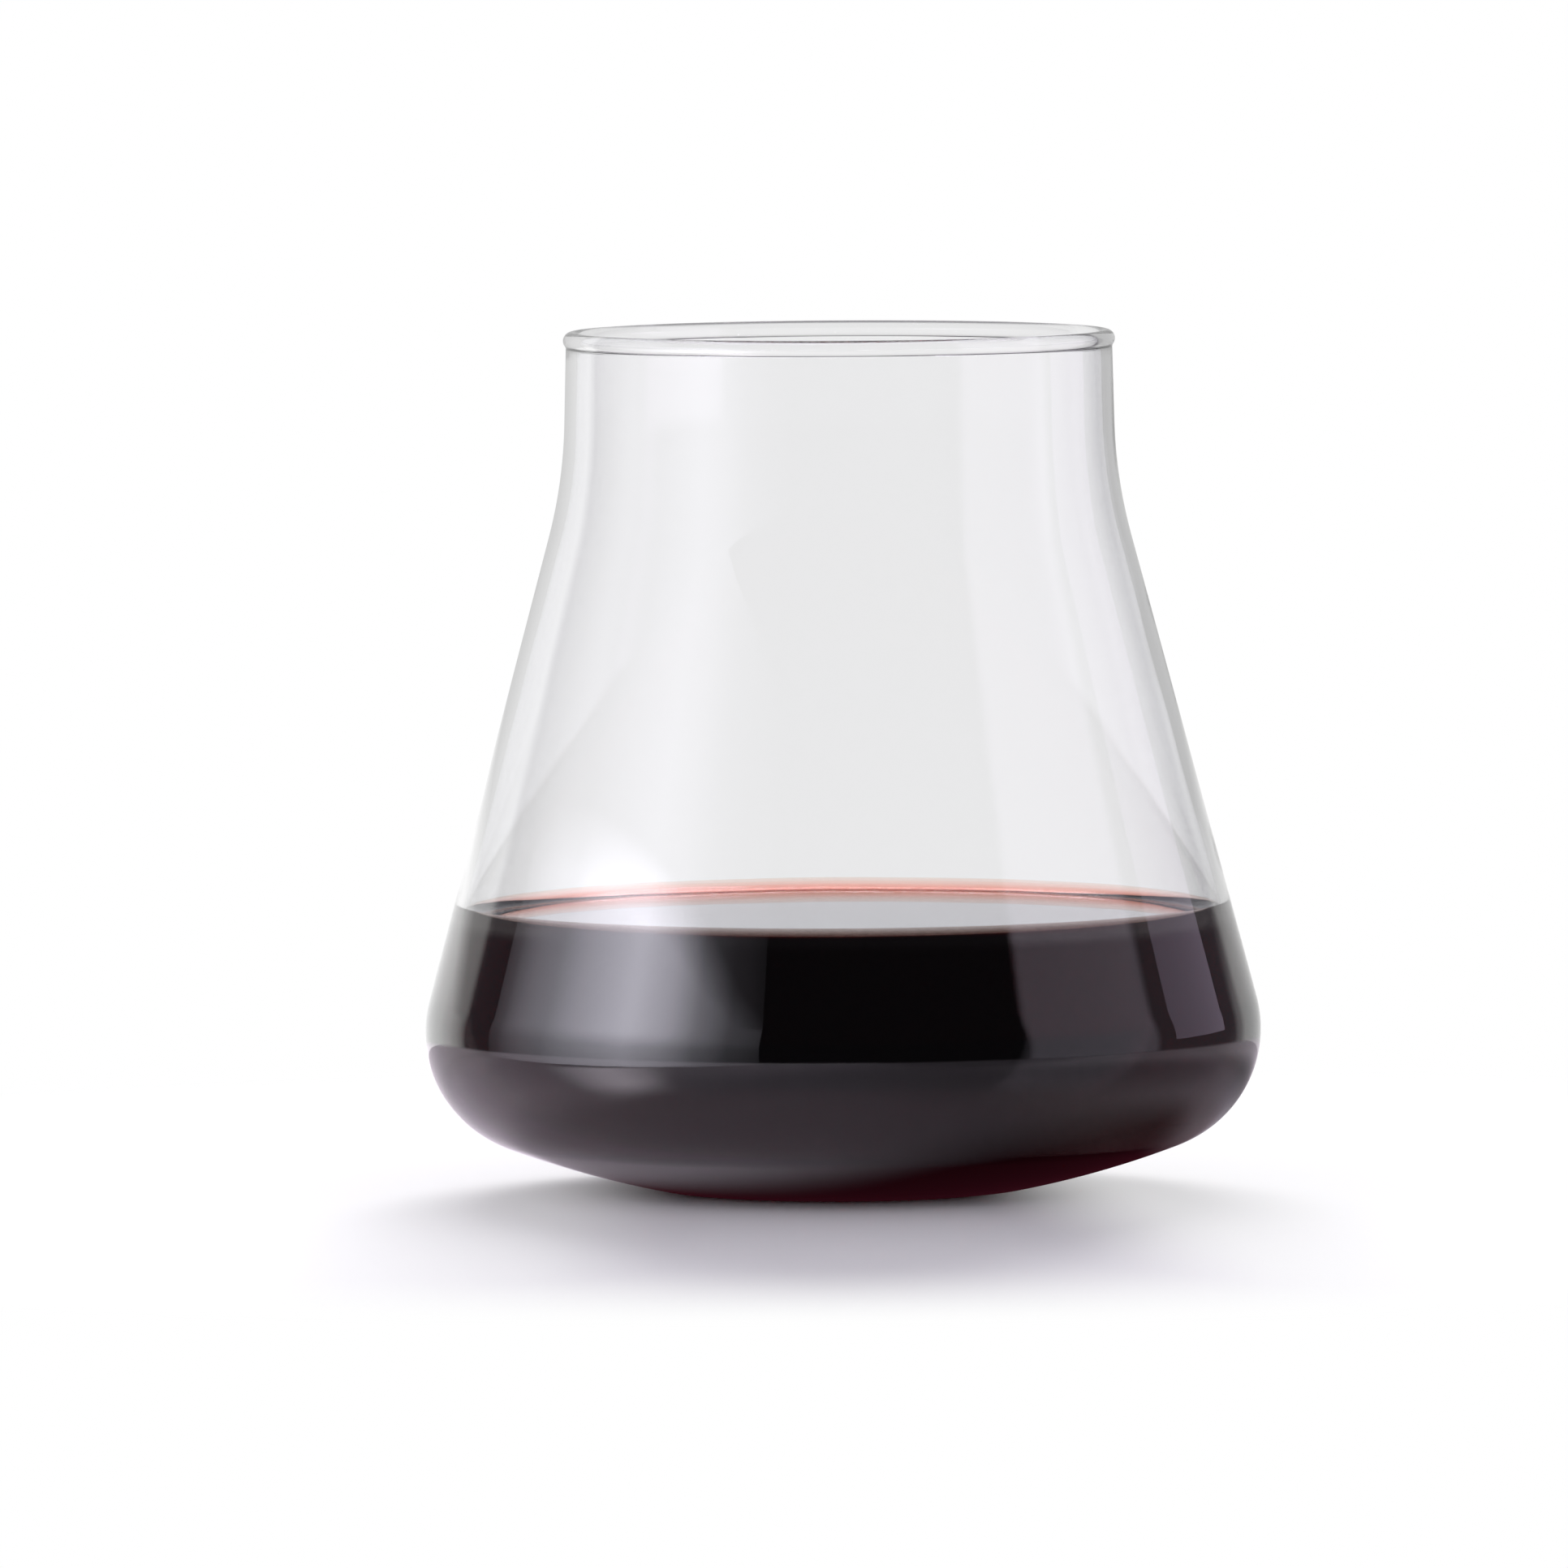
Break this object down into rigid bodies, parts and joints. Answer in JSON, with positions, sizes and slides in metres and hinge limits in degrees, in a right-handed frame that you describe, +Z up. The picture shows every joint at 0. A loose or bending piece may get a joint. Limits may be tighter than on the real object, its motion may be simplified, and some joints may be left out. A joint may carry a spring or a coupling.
{
  "type": "stemless wine glass",
  "caption": "Stemless wine glass with a wide rounded belly, straight sloping sides and a narrow beaded mouth, holding a pour of red wine.",
  "frame": {"origin": "middle of the foot, on the table that the glass stands on", "axes": "+Z up along the axis that the glass is turned about; X and Y are free, because the glass is round"},
  "size_m": [0.1, 0.1, 0.1025],
  "materials": {
    "clear_glass": "clear soda-lime glass, fire-polished, smooth with a faint ripple",
    "red_wine": "still liquid with a mirror surface, deep red, near black in depth and orange-red at its thin edge"
  },
  "bodies": {
    "root": {"glass_bowl": "clear_glass", "wine": "red_wine"}
  },
  "joints": []
}
